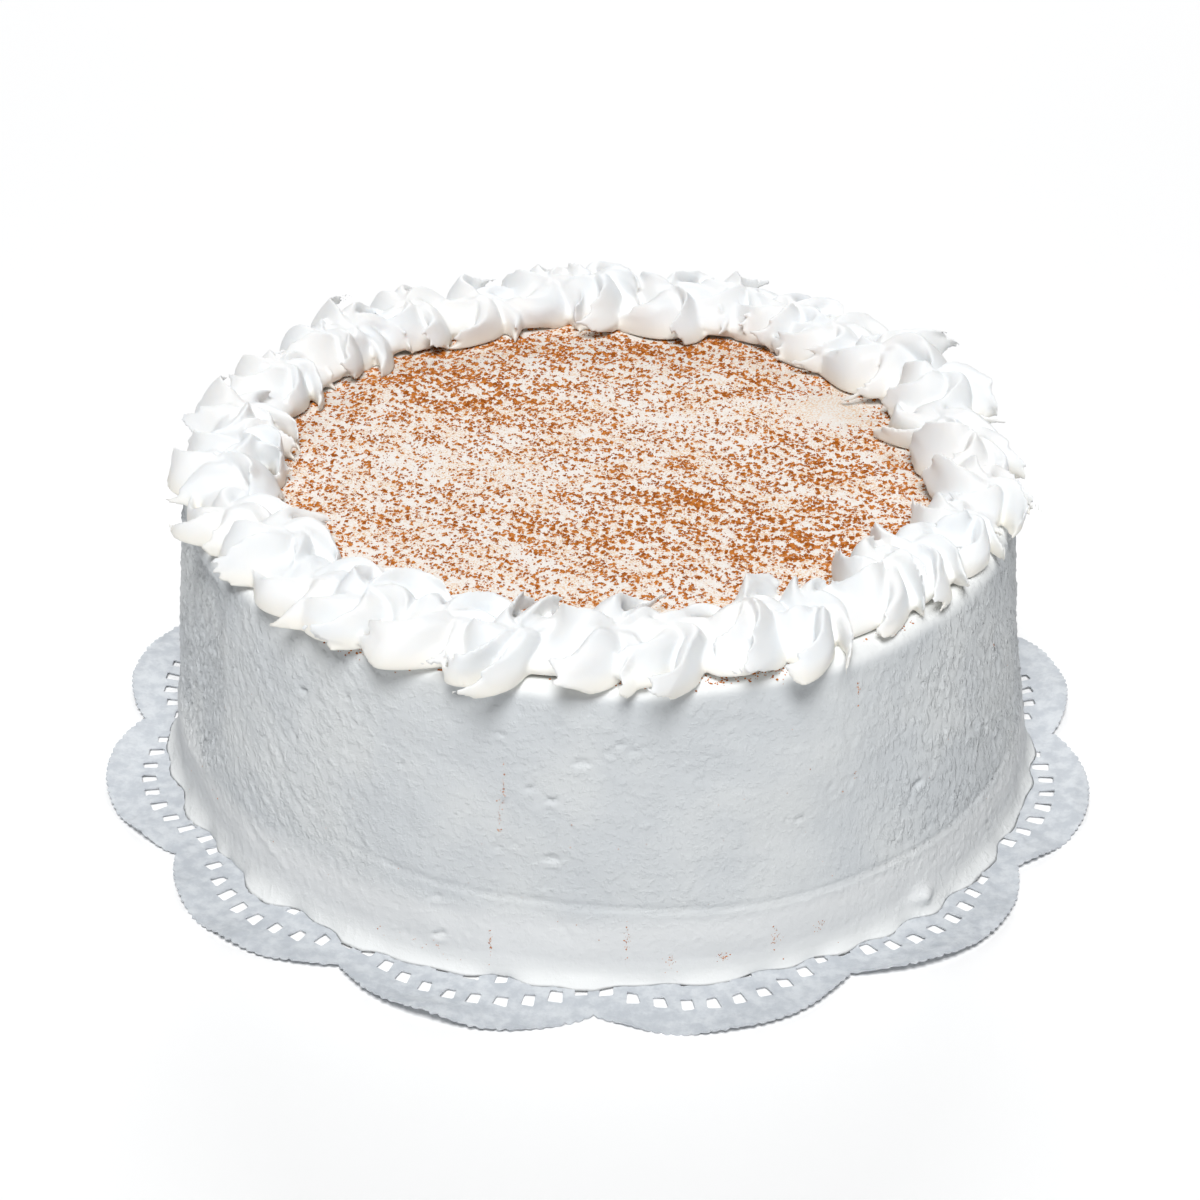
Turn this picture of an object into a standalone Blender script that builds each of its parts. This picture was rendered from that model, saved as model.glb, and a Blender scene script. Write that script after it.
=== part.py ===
"""A tres leches cake: a round iced cake with a piped star border round its top, on a paper lace doily.

Metres, +Z up. The origin is the middle of the doily's underside, and -Y is the cake's front.
The cake stands a little off the doily's middle.
"""
import math
import random

import bmesh
import bpy

GAP = 0.0003                    # clearance between pieces that rest on each other

# Paper lace doily
SCALLOPS = 12
SCALLOP_TIP_RADIUS = 0.127
SCALLOP_NOTCH_RADIUS = 0.118
DOILY_THICKNESS = 0.0008
SCALLOP_POINTS = 10             # points along one scallop's arc
LACE_ROWS = (                   # inset from the edge, openings in a scallop, share of the scallop, width, length
    (0.0110, 10, 1.0, 0.0032, 0.0042),
    (0.0195, 3, 0.36, 0.0034, 0.0040),
)
OPENING_FLARE = 0.25            # how much wider an opening is at its outer end

# Iced cake, its height counted from the doily
CAKE_CENTRE = (0.0010, 0.0037)
CAKE_HEIGHT = 0.0750
CAKE_TOP_RADIUS = 0.1048
CAKE_SEAM_RADIUS = 0.1086
CAKE_SEAM_HEIGHT = 0.0196
SEAM_STEP = 0.0005
CAKE_FOOT_RADIUS = 0.1103
FOOT_THICKNESS = 0.0016
CAKE_FLARE_RADIUS = 0.1094      # where the icing starts to spread onto the doily
FLARE_HEIGHT = 0.0050
RIM_ROUND = 0.0030
RIM_STEPS = 3
CAKE_SEGMENTS = 72

# Piped border: star drops side by side round the rim, with a rope of icing under them
DROPS = 32
BORDER_OFFSET = (-0.0014, -0.0028)   # the border's middle from the cake's
BORDER_RADIUS = 0.0902
DROP_REACH = 0.0149             # half its size across the border
DROP_ALONG = 0.0142             # half its size along the border
DROP_HEIGHT = 0.0148
PETALS = (5, 5, 6)
PETAL_DEPTH = 0.50              # depth of the creases, as a share of the reach
PETAL_LIP = 0.68                # a petal fans out over this share of its width, and drops off past its lip
FAN_BEND = 1.1
LIP_BEND = 0.6
PLAIN_SHARE = 0.15              # the rest of its form is an even lobe
PLAIN_BEND = 4
PETAL_CURL = 1.10               # radians that a petal's end trails its root
PETAL_TWIST = 0.45              # radians from a drop's foot to its top
PETAL_SLANT = 0.22              # sideways lean of the petals for each unit outward
SLANT_SWING = 0.20              # the lean grows towards one side of the cake, and falls off opposite
SLANT_TOWARD = math.radians(-55)
PETAL_CREST = 0.30              # how far the creases sink under the petals' crests
TOP_DIMPLE = 0.20
DIMPLE_RADIUS = 0.30
TUCK = 0.35                     # share of the profile that tucks in below a drop's belly
TUCKED_RADIUS = 0.80
DOME_TAPER = 0.985              # above the belly a drop narrows as (1 - taper * level ** square) ** fall
DOME_SQUARE = 2.4
DOME_FALL = 0.714
PHASE_STEP = 0.90               # turn of each drop's star from the one before
DROP_SINK = 0.0012              # a drop starts this far under the cake's top, and is cut flat there
DROP_LEVELS = (-0.35, 0.0, 0.40, 0.72, 0.93)
PETAL_COLUMNS = (0.0, 0.34, 0.68, 0.86)
SPREAD = {                      # one step of each drop's unevenness
    "reach": 0.07, "along": 0.10, "height": 0.08, "twist": 0.30, "phase": 0.50, "tilt": 0.14,
    "roll": 0.14, "slip": 0.14, "shift": 0.0012, "size": 0.12, "crest": 0.10, "span": 0.22,
}
ROPE_HALF_WIDTH = 0.0065
ROPE_HEIGHT = 0.0075
ROPE_SEGMENTS = 68
ROPE_SIDES = 6
BORDER_TRIANGLES = 8300
BORDER_SEED = 3
WAVES = 5                       # waves that bend the whole border a little
WAVE_SIZE = 0.0011
WAVE_LENGTH = 0.0105
WAVE_SEED = 28
CUTTER_WEDGES = 40
CUTTER_RADIUS = 0.2
CUTTER_DEPTH = 0.02
FOOT_SLACK = 0.00012            # points this near the underside are put exactly on it

ICING_COLOUR = (0.80, 0.82, 0.82, 1.0)
CREAM_COLOUR = (0.90, 0.90, 0.88, 1.0)
PAPER_COLOUR = (0.80, 0.82, 0.87, 1.0)

CAKE_BASE = DOILY_THICKNESS + GAP
CAKE_TOP = DOILY_THICKNESS + CAKE_HEIGHT
BORDER_BASE = CAKE_TOP + GAP
BORDER_CENTRE = (CAKE_CENTRE[0] + BORDER_OFFSET[0], CAKE_CENTRE[1] + BORDER_OFFSET[1])


def clear_scene():
    for thing in list(bpy.data.objects):
        bpy.data.objects.remove(thing, do_unlink=True)


def make_material(name, colour, roughness):
    material = bpy.data.materials.new(name)
    material.use_nodes = True
    shader = material.node_tree.nodes["Principled BSDF"]
    shader.inputs["Base Color"].default_value = colour
    shader.inputs["Roughness"].default_value = roughness
    shader.inputs["Metallic"].default_value = 0.0
    return material


def make_object(name, bm, material=None):
    """Turns a bmesh into an object of the scene, with its faces pointing out."""
    bmesh.ops.recalc_face_normals(bm, faces=bm.faces[:])
    mesh = bpy.data.meshes.new(name)
    bm.to_mesh(mesh)
    bm.free()
    if material:
        mesh.materials.append(material)
    thing = bpy.data.objects.new(name, mesh)
    bpy.context.scene.collection.objects.link(thing)
    return thing


def smooth(thing, angle):
    thing.data.shade_smooth()
    thing.data.set_sharp_from_angle(angle=angle)


# Doily

def scallop_edge(angle):
    """Distance from the doily's middle to its edge: each scallop is an arc from notch to notch."""
    half = math.pi / SCALLOPS
    notch_x = SCALLOP_NOTCH_RADIUS * math.cos(half)
    notch_y = SCALLOP_NOTCH_RADIUS * math.sin(half)
    rise = SCALLOP_TIP_RADIUS - notch_x
    arc = (notch_y ** 2 + rise ** 2) / (2 * rise)
    centre = SCALLOP_TIP_RADIUS - arc
    local = angle % (2 * half) - half
    return centre * math.cos(local) + math.sqrt(arc ** 2 - (centre * math.sin(local)) ** 2)


def polar(radius, angle):
    return (radius * math.cos(angle), radius * math.sin(angle), 0.0)


def add_loop(bm, points):
    ring = [bm.verts.new(point) for point in points]
    for here, there in zip(ring, ring[1:] + ring[:1]):
        bm.edges.new((here, there))


def lace_opening(angle, inset, width, length):
    """Four corners of one opening, wider at its outer end."""
    middle = scallop_edge(angle) - inset
    corners = []
    for out, side in ((-1, -1), (-1, 1), (1, 1), (1, -1)):
        radius = middle + out * length / 2
        half_width = width * (1 + out * OPENING_FLARE / 2) / 2
        corners.append(polar(radius, angle + side * half_width / radius))
    return corners


def build_doily(material):
    bm = bmesh.new()
    steps = SCALLOPS * SCALLOP_POINTS
    add_loop(bm, [polar(scallop_edge(2 * math.pi * k / steps), 2 * math.pi * k / steps) for k in range(steps)])
    pitch = 2 * math.pi / SCALLOPS
    for inset, count, share, width, length in LACE_ROWS:
        for scallop in range(SCALLOPS):
            for k in range(count):
                angle = pitch * (scallop + 0.5 + share * ((k + 0.5) / count - 0.5))
                add_loop(bm, lace_opening(angle, inset, width, length))
    bmesh.ops.triangle_fill(bm, use_beauty=True, use_dissolve=False, edges=bm.edges[:])
    top = bmesh.ops.extrude_face_region(bm, geom=bm.faces[:])
    raised = [item for item in top["geom"] if isinstance(item, bmesh.types.BMVert)]
    bmesh.ops.translate(bm, verts=raised, vec=(0, 0, DOILY_THICKNESS))
    return make_object("lace_doily", bm, material)


# Cake

def cake_profile():
    """Radius and height from the middle of the base, round the foot and up the side to the middle of the top."""
    base = CAKE_BASE
    seam = DOILY_THICKNESS + CAKE_SEAM_HEIGHT
    points = [
        (0.0, base),
        (CAKE_FOOT_RADIUS, base),
        (CAKE_FOOT_RADIUS, base + FOOT_THICKNESS / 2),
        (CAKE_FLARE_RADIUS, base + FLARE_HEIGHT),
        (CAKE_SEAM_RADIUS + SEAM_STEP, seam - SEAM_STEP),
        (CAKE_SEAM_RADIUS, seam),
    ]
    side_foot, side_top = seam, CAKE_TOP - RIM_ROUND
    for share in (0.5, 1.0):
        radius = CAKE_SEAM_RADIUS + share * (CAKE_TOP_RADIUS - CAKE_SEAM_RADIUS)
        points.append((radius, side_foot + share * (side_top - side_foot)))
    for step in range(1, RIM_STEPS + 1):
        turn = math.radians(90) * step / RIM_STEPS
        radius = CAKE_TOP_RADIUS - RIM_ROUND * (1 - math.cos(turn))
        points.append((radius, side_top + RIM_ROUND * math.sin(turn)))
    points.append((0.0, CAKE_TOP))
    return points


def build_cake(material):
    bm = bmesh.new()
    line = [bm.verts.new((radius, 0.0, height)) for radius, height in cake_profile()]
    edges = [bm.edges.new(pair) for pair in zip(line, line[1:])]
    bmesh.ops.spin(bm, geom=line + edges, cent=(0, 0, 0), axis=(0, 0, 1), angle=2 * math.pi,
                   steps=CAKE_SEGMENTS, use_merge=True)
    bmesh.ops.remove_doubles(bm, verts=bm.verts[:], dist=0.00001)
    bmesh.ops.translate(bm, verts=bm.verts[:], vec=(*CAKE_CENTRE, 0))
    cake = make_object("iced_cake", bm, material)
    smooth(cake, math.radians(30))
    return cake


# Border

def border_waves():
    """Long waves, each a direction to vary along, a phase and a direction to push."""
    dice = random.Random(WAVE_SEED)
    waves = []
    for _ in range(WAVES):
        along = [dice.gauss(0, 1) for _ in range(3)]
        push = [dice.gauss(0, 1) for _ in range(3)]
        pace = 2 * math.pi / WAVE_LENGTH * dice.uniform(0.5, 1.2) / math.hypot(*along)
        size = WAVE_SIZE / math.hypot(*push) / math.sqrt(WAVES)
        waves.append(([pace * a for a in along], dice.uniform(0, 2 * math.pi), [size * p for p in push]))
    return waves


def bent(point, waves):
    moved = list(point)
    for along, phase, push in waves:
        swing = math.sin(sum(a * c for a, c in zip(along, point)) + phase)
        moved = [m + swing * p for m, p in zip(moved, push)]
    return moved


def draw_drop(dice, index):
    """The uneven sizes and turns of one drop, each a normal draw held within two steps."""
    def draw(name):
        return SPREAD[name] * max(-2.0, min(2.0, dice.gauss(0, 1)))
    petals = dice.choice(PETALS)
    return {
        "petals": petals,
        "reach": DROP_REACH * (1 + draw("reach")),
        "along": DROP_ALONG * (1 + draw("along")),
        "height": DROP_HEIGHT * (1 + draw("height")),
        "twist": PETAL_TWIST + draw("twist"),
        "phase": index * PHASE_STEP + draw("phase"),
        "slant": PETAL_SLANT + SLANT_SWING * math.cos(2 * math.pi * index / DROPS - SLANT_TOWARD),
        "tilt": draw("tilt"),
        "roll": draw("roll"),
        "slip": draw("slip"),
        "shift": draw("shift"),
        "sizes": [1 + draw("size") for _ in range(petals)],
        "crests": [1 + draw("crest") for _ in range(petals)],
        "spans": [1 + draw("span") for _ in range(petals)],
    }


def petal_form(column):
    """How far a petal stands out at that share of its width: a fan that rises to a lip, and drops off past it."""
    if column < PETAL_LIP:
        fan = (column / PETAL_LIP) ** FAN_BEND
    else:
        fan = ((1 - column) / (1 - PETAL_LIP)) ** LIP_BEND
    plain = 1 - abs(2 * column - 1) ** PLAIN_BEND
    return fan + PLAIN_SHARE * (plain - fan)


def drop_point(drop, level, petal, column):
    """A point of a drop's skin: level -TUCK to 1 from foot to top, column 0 to 1 across one petal."""
    climb = (level + TUCK) / (1 + TUCK)
    if level < 0:
        body = 1 - (1 - TUCKED_RADIUS) * (level / TUCK) ** 2
    else:
        body = (1 - DOME_TAPER * level ** DOME_SQUARE) ** DOME_FALL
    lobe = petal_form(column)
    radius = body * (1 - PETAL_DEPTH + PETAL_DEPTH * lobe * drop["sizes"][petal])
    spans = drop["spans"]
    turned = (sum(spans[:petal]) + column * spans[petal]) / sum(spans)
    angle = 2 * math.pi * turned + drop["phase"]
    angle += drop["twist"] * (climb - TUCK) + PETAL_CURL * min(radius, 1.3) ** 2
    rise = climb - 0.5 * PETAL_CREST * (1 - lobe) * math.sin(math.pi * climb)
    rise -= TOP_DIMPLE * math.exp(-(radius / DIMPLE_RADIUS) ** 2) * max(level, 0)
    rise *= 1 + (drop["crests"][petal] - 1) * lobe * climb
    across = drop["reach"] * radius * math.sin(angle)
    along = drop["along"] * radius * math.cos(angle) - drop["slant"] * across
    return along, across, drop["height"] * rise


def placed(drop, index, point):
    """Tips a drop's own point, and puts it on the border's circle."""
    along, across, up = point
    tilt, roll = drop["tilt"], drop["roll"]
    across, up = across * math.cos(tilt) - up * math.sin(tilt), across * math.sin(tilt) + up * math.cos(tilt)
    along, up = along * math.cos(roll) + up * math.sin(roll), up * math.cos(roll) - along * math.sin(roll)
    angle = 2 * math.pi * (index + drop["slip"]) / DROPS
    radius = BORDER_RADIUS + drop["shift"] + across
    x = BORDER_CENTRE[0] + radius * math.cos(angle) - along * math.sin(angle)
    y = BORDER_CENTRE[1] + radius * math.sin(angle) + along * math.cos(angle)
    return x, y, BORDER_BASE - DROP_SINK + up


def skin(bm, rings, closed_ends=True):
    """Faces between rings of points, with a fan to the middle of the first and the last ring."""
    for lower, upper in zip(rings, rings[1:]):
        for k in range(len(lower)):
            bm.faces.new((lower[k - 1], lower[k], upper[k], upper[k - 1]))
    if closed_ends:
        for ring in (rings[0], rings[-1]):
            middle = [sum(vert.co[axis] for vert in ring) / len(ring) for axis in range(3)]
            hub = bm.verts.new(middle)
            for k in range(len(ring)):
                bm.faces.new((ring[k - 1], ring[k], hub))


def build_drop(index, drop, waves):
    bm = bmesh.new()
    rings = []
    for level in DROP_LEVELS:
        ring = []
        for petal in range(drop["petals"]):
            for column in PETAL_COLUMNS:
                point = placed(drop, index, drop_point(drop, level, petal, column))
                ring.append(bm.verts.new(bent(point, waves)))
        rings.append(ring)
    skin(bm, rings)
    bmesh.ops.triangulate(bm, faces=bm.faces[:])
    return make_object(f"drop_{index}", bm)


def build_rope():
    """The rope of icing that the drops sit on, a flattened ring under their middles."""
    bm = bmesh.new()
    rings = []
    for turn in range(ROPE_SEGMENTS):
        angle = 2 * math.pi * turn / ROPE_SEGMENTS
        ring = []
        for k in range(ROPE_SIDES):
            round_angle = 2 * math.pi * (k + 0.5) / ROPE_SIDES
            radius = BORDER_RADIUS + ROPE_HALF_WIDTH * math.cos(round_angle)
            height = BORDER_BASE - DROP_SINK + ROPE_HEIGHT * 0.5 * (1 + math.sin(round_angle))
            ring.append(bm.verts.new((BORDER_CENTRE[0] + radius * math.cos(angle),
                                      BORDER_CENTRE[1] + radius * math.sin(angle), height)))
        rings.append(ring)
    skin(bm, rings + rings[:1], closed_ends=False)
    bmesh.ops.triangulate(bm, faces=bm.faces[:])
    return make_object("piped_border", bm)


def apply_modifiers(thing):
    seen = thing.evaluated_get(bpy.context.evaluated_depsgraph_get())
    mesh = bpy.data.meshes.new_from_object(seen)
    thing.modifiers.clear()
    thing.data = mesh


def apply_boolean(thing, operation, cutter=None, collection=None):
    modifier = thing.modifiers.new(operation.lower(), "BOOLEAN")
    modifier.operation = operation
    modifier.solver = "MANIFOLD"
    if collection:
        modifier.operand_type = "COLLECTION"
        modifier.collection = collection
    else:
        modifier.object = cutter
    apply_modifiers(thing)


def simplify(thing, triangles):
    """Collapses the slivers that the fused drops leave along their creases."""
    thing.data.calc_loop_triangles()
    modifier = thing.modifiers.new("simplify", "DECIMATE")
    modifier.ratio = triangles / len(thing.data.loop_triangles)
    modifier.use_collapse_triangulate = True
    apply_modifiers(thing)


def level_foot(thing):
    """Puts the points that simplifying shifted a little off the flat underside back on it."""
    for vert in thing.data.vertices:
        if vert.co.z < BORDER_BASE + FOOT_SLACK:
            vert.co.z = BORDER_BASE
    thing.data.update()


def build_cutter():
    """A thick disc whose top, a fan of wedges, is where the border is cut flat."""
    bm = bmesh.new()
    bmesh.ops.create_cone(
        bm, cap_ends=True, cap_tris=True, segments=CUTTER_WEDGES,
        radius1=CUTTER_RADIUS, radius2=CUTTER_RADIUS, depth=CUTTER_DEPTH,
    )
    bmesh.ops.translate(bm, verts=bm.verts[:], vec=(0, 0, BORDER_BASE - CUTTER_DEPTH / 2))
    cutter = make_object("below_border", bm)
    cutter.hide_render = True
    cutter.display_type = "WIRE"
    return cutter


def build_border(material):
    dice = random.Random(BORDER_SEED)
    waves = border_waves()
    border = build_rope()
    fused = bpy.data.collections.new("fused_drops")
    bpy.context.scene.collection.children.link(fused)
    for index in range(DROPS):
        piece = build_drop(index, draw_drop(dice, index), waves)
        bpy.context.scene.collection.objects.unlink(piece)
        fused.objects.link(piece)
    apply_boolean(border, "UNION", collection=fused)
    for piece in list(fused.objects):
        bpy.data.objects.remove(piece, do_unlink=True)
    bpy.data.collections.remove(fused)

    below = build_cutter()
    apply_boolean(border, "DIFFERENCE", cutter=below)
    bpy.data.objects.remove(below, do_unlink=True)
    simplify(border, BORDER_TRIANGLES)
    level_foot(border)

    border.data.materials.clear()
    border.data.materials.append(material)
    smooth(border, math.radians(50))
    return border


def main():
    clear_scene()
    build_doily(make_material("doily_paper", PAPER_COLOUR, 0.85))
    build_cake(make_material("side_icing", ICING_COLOUR, 0.55))
    build_border(make_material("piped_cream", CREAM_COLOUR, 0.50))


main()
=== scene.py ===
"""Looks of the tres leches cake: piped cream, smoothed icing, cinnamon and a paper lace doily."""

import math
import random

import bpy
import numpy as np
from mathutils import Matrix, Vector, geometry


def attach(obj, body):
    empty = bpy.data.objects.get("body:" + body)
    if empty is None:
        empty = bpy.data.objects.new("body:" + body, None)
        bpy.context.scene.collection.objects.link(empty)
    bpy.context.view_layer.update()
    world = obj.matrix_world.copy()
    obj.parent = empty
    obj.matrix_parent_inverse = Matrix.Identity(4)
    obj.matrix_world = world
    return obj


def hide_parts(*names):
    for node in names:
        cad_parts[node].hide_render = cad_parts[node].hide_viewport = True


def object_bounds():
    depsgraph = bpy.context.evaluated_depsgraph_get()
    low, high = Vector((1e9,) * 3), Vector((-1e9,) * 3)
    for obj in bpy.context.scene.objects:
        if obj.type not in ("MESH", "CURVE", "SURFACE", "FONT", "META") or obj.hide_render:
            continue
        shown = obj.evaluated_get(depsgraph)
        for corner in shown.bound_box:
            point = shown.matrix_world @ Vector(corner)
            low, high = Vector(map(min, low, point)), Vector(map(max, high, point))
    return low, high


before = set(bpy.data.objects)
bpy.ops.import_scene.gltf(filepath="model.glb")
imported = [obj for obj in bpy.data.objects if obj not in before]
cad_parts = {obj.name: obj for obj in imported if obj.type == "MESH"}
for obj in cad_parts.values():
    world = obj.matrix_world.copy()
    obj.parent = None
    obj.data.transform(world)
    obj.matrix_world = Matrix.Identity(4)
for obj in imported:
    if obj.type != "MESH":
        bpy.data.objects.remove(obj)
cad_low, cad_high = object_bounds()

GAP = 0.0003                    # between the doily, the cake and the border

# Paper lace doily
SCALLOPS = 12
SCALLOP_TIP_RADIUS = 0.127
SCALLOP_NOTCH_RADIUS = 0.118
DOILY_THICKNESS = 0.0008
PAPER_THICKNESS = 0.00035
LACE_ROWS = (                   # inset from the edge, openings and their share of a scallop, width, length
    (0.0110, 10, 1.0, 0.0032, 0.0042),
    (0.0195, 3, 0.36, 0.0034, 0.0040),
)
OPENING_FLARE = 0.25
OPENING_REACH = 0.006           # nothing of an opening is further from its middle
OPENING_CLEAR = 1.25            # the paper's own points keep this many times an opening's size away
PICOTS = 30                     # small points along one scallop's edge
PICOT_STEPS = 4
PICOT_DEPTH = 0.0005
LACE_CELL = 0.0012              # spacing of the paper's own points where it shows
LACE_FROM = 0.100               # the paper is plain and flat inside this radius
PLAIN_CELL = 0.012              # spacing of its points there
PRESSED_RADIUS = 0.109          # the cake presses the paper down inside this one
LIFT_FROM, LIFT_OVER = 0.113, 0.010        # and outside this one its edge lifts
LACE_SEED = 5

# Iced cake, its height counted from the doily
CAKE_CENTRE = (0.0010, 0.0037)
CAKE_HEIGHT = 0.0750
CAKE_TOP_RADIUS = 0.1048
CAKE_SEAM_RADIUS = 0.1086
CAKE_SEAM_HEIGHT = 0.0196
SEAM_STEP = 0.0005
CAKE_FOOT_RADIUS = 0.1103
FOOT_THICKNESS = 0.0016
CAKE_FLARE_RADIUS = 0.1094
FLARE_HEIGHT = 0.0050
RIM_ROUND = 0.0038
RIM_STEPS = 6
CAKE_COLUMNS = 852
FRONT_SHARE = 0.22              # how much closer together the columns stand at the front
FOOT_ROWS = (0.0, 0.0003, 0.0007)
SIDE_FROM = 0.0013              # the first row of the side, along the outline
SIDE_STEP = 0.00081             # spacing of the rows up the side
SHELF_STEP = 0.0016             # and over the rim, as far as the border
TOP_COLUMNS_SHARE = 4           # inside the border the top has this many times fewer columns
TOP_SWITCH = 0.090              # radius under the border where they change
TOP_STEP = 0.0022

# The icing's relief. Angles are degrees round the cake, where the front is -90 and the right is 0
SWELLS = ((0.00028, 0.045, 3), (0.00007, 0.012, 4))        # size, length, seed
DIAGONAL = (0.0026, 0.30, 35, 6)           # strokes: spacing, spread, degrees from upright, seed
UPRIGHT = (0.0030, 0.50, 6, 7)
LEVEL = (0.0040, 0.35, 84, 8)
STROKE_SIZE = 0.000075
ROUGH_SIZE = 0.000034
SEAM_LINE = (                   # angle, millimetres up
    (-180, 20), (-133, 24), (-118, 24), (-104, 21.4), (-88, 20.6), (-70, 18.4), (-46, 18.2),
    (0, 20), (180, 20),
)
SEAM_DEPTH = (                  # angle, share of the full groove
    (-180, 0.3), (-150, 0.2), (-128, 0.3), (-112, 0.8), (-40, 1.0), (0, 0.7), (180, 0.3),
)
SEAM_GROOVE = 0.0006
FLAT_SPOT = -160                # a flat place, left by a knife, and its heights in metres
FLAT_DEPTH = 0.0026
FLAT_LOW, FLAT_MIDDLE, FLAT_HIGH = 0.014, 0.050, 0.0705
PEBBLE_SIZE = 0.00022
BLOB = (-46.4, 0.0048, 0.0024)  # a blob of icing at the foot: angle, height, how far it stands out
BLOB_WIDE, BLOB_TALL = 0.0030, 0.0020
FOOT_REACH, FOOT_WAVES, FOOT_LIMIT = 0.0016, 0.0011, 0.0036        # the thin edge on the paper
FOOT_FALL = 0.0011
TRIM = (                        # how much less than round the icing is at the top: angle, millimetres
    (-180, 0.8), (-150, 0.5), (-125, 1.0), (-90, 0.6), (-60, 0.8), (-40, 1.6), (-22, 4.2), (-8, 5.0),
    (10, 3.6), (40, 1.0), (90, 0.5), (180, 0.8),
)
TRIM_SPREAD = 0.09              # radians over which it is evened out
TRIM_FADE = ((0.004, 0.030, 0.074), (0.1, 0.55, 1.0))      # heights, and its share there
PITS = (                        # the largest air bubbles in millimetres: angle, height, width, depth
    (-99.7, 68.9, 1.2, 0.45), (-102.4, 63.2, 2.1, 0.6), (-92.4, 57.3, 3.4, 0.7), (-96.0, 47.7, 2.4, 0.8),
    (-95.9, 32.4, 3.0, 0.9), (-87.9, 61.9, 1.9, 0.55), (-86.4, 60.2, 1.9, 0.5), (-89.3, 60.0, 2.1, 0.45),
    (-85.0, 61.0, 1.8, 0.45), (-130.6, 59.0, 2.2, 0.7), (-123.4, 62.3, 1.6, 0.6), (-109.9, 18.2, 2.0, 0.6),
    (-101.8, 46.2, 1.2, 0.5), (-91.0, 44.0, 1.1, 0.4), (-100.3, 35.0, 2.0, 0.5), (-83.2, 66.5, 1.4, 0.4),
)
SMALL_PITS = 520
SMALL_PIT_DEPTH = 0.26          # as a share of the width
PIT_STRENGTH = 1.5
PIT_SEED = 9
RIDGES = (                      # fine raised scratches: from and to as angle and millimetres up, and how high
    ((-141.1, 21.5), (-138.6, 15.5), 0.35), ((-138.6, 15.5), (-132.9, 9.5), 0.35),
    ((-87.3, 52.9), (-86.0, 50.0), 0.16), ((-86.0, 50.0), (-84.0, 47.8), 0.16),
    ((-139.9, 32.5), (-139.5, 29.0), 0.45), ((-60.0, 62.0), (-59.3, 55.0), 0.15),
)
RIDGE_WIDTH = 0.0006

# Piped border
DROPS = 32
BORDER_OFFSET = (-0.0014, -0.0028)
BORDER_RADIUS = 0.0902
DROP_REACH = 0.0149
DROP_ALONG = 0.0142
DROP_HEIGHT = 0.0148
PETALS = (5, 5, 6)
PETAL_DEPTH = 0.50
PETAL_LIP = 0.68
FAN_BEND = 1.6
LIP_BEND = 0.5
LIP_BEAD = 0.09                 # the thicker edge of a petal, as a share of its depth
LIP_WIDTH = 0.07
LIP_BACK = 0.03                 # how far the thick edge lies back from the petal's end
RAGGED = 0.045
RAGGED_LENGTH = 0.0042
RAGGED_SEED = 23
FRONT_REACH = 0.11              # how much broader the ring is at the front and back
LEFT_SHIFT = 0.0016             # the ring stands out a little more at the left of the front
LEFT_TOWARD = math.radians(-150)
PLAIN_SHARE = 0.15
PLAIN_BEND = 4
PETAL_CURL = 1.10
CURL_LIMIT = 1.3
PETAL_TWIST = 0.45
PETAL_SLANT = 0.22
SLANT_SWING = 0.20
SLANT_TOWARD = math.radians(-55)
PETAL_CREST = 0.30
TOP_DIMPLE = 0.20
DIMPLE_RADIUS = 0.30
TUCK = 0.35
TUCKED_RADIUS = 0.80
DOME_TAPER = 0.985
DOME_SQUARE = 2.4
DOME_FALL = 0.714
PHASE_STEP = 0.90
DROP_SINK = 0.0012
SPREAD = {                      # how much the drops differ
    "reach": 0.07, "along": 0.10, "height": 0.08, "twist": 0.30, "phase": 0.50, "tilt": 0.14,
    "roll": 0.14, "slip": 0.14, "shift": 0.0012, "size": 0.12, "crest": 0.10, "span": 0.22,
}
BORDER_SEED = 3
ROPE_HALF_WIDTH = 0.0085        # the rope of cream under the drops
ROPE_HEIGHT = 0.0080
ROPE_STEPS = 180
ROPE_SIDES = 20
WAVES = 5
WAVE_SIZE = 0.0011
WAVE_LENGTH = 0.0105
WAVE_SEED = 28
DROP_LEVELS = 40
PETAL_COLUMNS = 28
CREAM_VOXEL = 0.00055
CREAM_SOFTNESS = 0.5
CREAM_TRIANGLES = 190000

# Cinnamon
CINNAMON = (                    # piece, grains, smallest and largest, seed, sides of a grain
    ("cinnamon_dust", 46000, 0.00025, 0.0008, 61, 3),
    ("cinnamon_grains", 31000, 0.0005, 0.0015, 71, 4),
    ("cinnamon_powder", 38000, 0.00018, 0.0005, 91, 3),
)
GRAIN_SPREAD = (1.2, 3.0)       # most grains are near the smallest
SPICE_RADIUS = 0.083            # of the place inside the border
SPICE_SQUARE = 0.084
SPICE_TRIALS = 200000
SPICE_EVERYWHERE = 0.55
SPICE_THICKEST = 3.2
PATCHES = (                     # middle from the cake's middle, half width, half depth, weight
    (-0.034, 0.036, 0.016, 0.010, 1.0),
    (-0.048, 0.050, 0.014, 0.012, 0.9),
    (-0.010, 0.066, 0.030, 0.006, 0.8),
    (0.016, -0.018, 0.014, 0.010, 1.0),
    (-0.004, -0.036, 0.016, 0.008, 0.7),
    (0.048, -0.036, 0.018, 0.012, 1.1),
    (0.052, 0.002, 0.013, 0.007, 0.9),
    (0.042, 0.046, 0.010, 0.004, 0.8),
    (0.025, 0.068, 0.030, 0.006, 0.7),
    (0.058, 0.033, 0.013, 0.010, -0.75),
    (0.022, 0.027, 0.020, 0.010, -0.3),
    (-0.044, 0.002, 0.020, 0.014, -0.35),
    (-0.017, -0.010, 0.012, 0.008, -0.25),
    (-0.030, -0.052, 0.020, 0.010, -0.15),
)
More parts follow.
